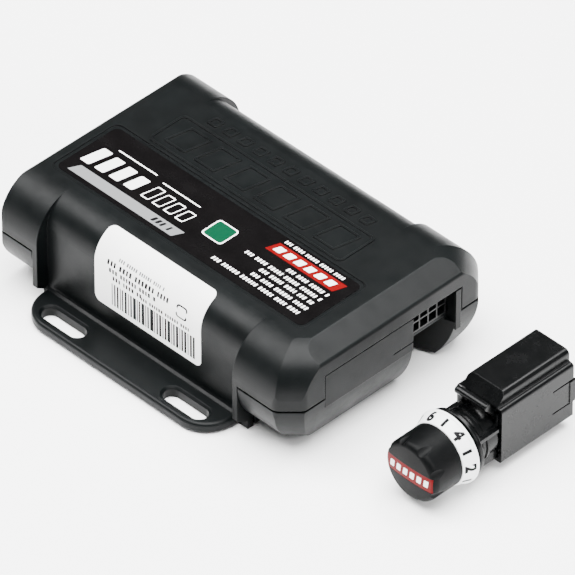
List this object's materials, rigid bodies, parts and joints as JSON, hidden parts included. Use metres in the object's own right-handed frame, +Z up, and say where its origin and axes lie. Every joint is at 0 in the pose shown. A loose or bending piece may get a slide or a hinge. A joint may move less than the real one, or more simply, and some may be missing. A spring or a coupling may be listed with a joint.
{
  "type": "trailer brake controller unit",
  "caption": "Flat black control box with slotted mounting feet and a harness connector, with its separate dash control head: scalloped push-and-turn knob and numbered dial.",
  "frame": {"origin": "centre of the rectangle of four foot slots, on the underside of the feet", "axes": "+X along the box towards its connector end, +Y away from the side that carries the paper label, +Z up"},
  "size_m": [0.1645, 0.1, 0.0358],
  "materials": {
    "housing": "fine matt texture",
    "circuit_board": "solder mask",
    "connector_black": "satin",
    "tinned_pin": "tinned",
    "screw_steel": "zinc plated",
    "aluminium_bar": "extruded",
    "package_black": "moulded epoxy",
    "thermal_pad": "soft silicone",
    "capacitor_sleeve": "shrink sleeve",
    "copper_coil": "enamelled copper",
    "label_film": "gloss film",
    "label_paper": "matt label stock",
    "head_plastic": "satin gloss",
    "knob_plastic": "soft-touch",
    "red_inlay": "gloss",
    "dial_white": "translucent white",
    "carriage_plastic": "natural acetal",
    "spring_steel": "bright wire",
    "gold_contact": "gold plated",
    "led_lens": "clear lens"
  },
  "bodies": {
    "box": {"top_cover": "housing", "base_tray": "housing", "main_board": "circuit_board", "connector_header": "connector_black", "header_pins": "tinned_pin", "cover_screws": "screw_steel", "board_screws": "screw_steel", "heat_bar": "aluminium_bar", "power_transistors": "package_black", "thermal_pads": "thermal_pad", "capacitors": "capacitor_sleeve", "supply_choke": "copper_coil", "microcontroller": "package_black", "motion_sensor": "package_black", "driver_chip": "package_black", "chip_parts": "package_black", "shunt_resistor": "tinned_pin", "top_label": "label_film", "side_label": "label_paper"},
    "head": {"head_case": "head_plastic", "head_body": "head_plastic", "return_spring": "spring_steel", "rotary_sensor": "package_black", "push_switch": "package_black", "head_board": "circuit_board", "rear_jack": "connector_black", "jack_contacts": "gold_contact", "status_led": "led_lens"},
    "latch": {"release_latch": "head_plastic", "latch_pin": "screw_steel"},
    "carriage": {"push_carriage": "carriage_plastic"},
    "knob": {"knob": "knob_plastic", "knob_badge": "red_inlay", "dial_ring": "dial_white", "spindle": "screw_steel", "spindle_clip": "screw_steel"}
  },
  "joints": [
    {"name": "head_lift", "type": "slide", "parent": "box", "child": "head", "axis": [0, 0, 1], "range_m": [0, 0.06]},
    {"name": "knob_push", "type": "slide", "parent": "head", "child": "carriage", "axis": [0, 1, 0], "range_m": [0, 0.001], "stiffness_N_per_m": 1500, "springref_m": -0.0015, "deforming": ["return_spring"]},
    {"name": "knob_turn", "type": "hinge", "parent": "carriage", "child": "knob", "pos_m": [0.098, 0, 0.0119], "axis": [0, -1, 0], "range_deg": [-145, 145]},
    {"name": "latch_press", "type": "hinge", "parent": "head", "child": "latch", "pos_m": [0.098, 0.0022, 0.0189], "axis": [1, 0, 0], "range_deg": [0, 8], "stiffness_Nm_per_rad": 0.25, "springref_deg": -2.86}
  ]
}
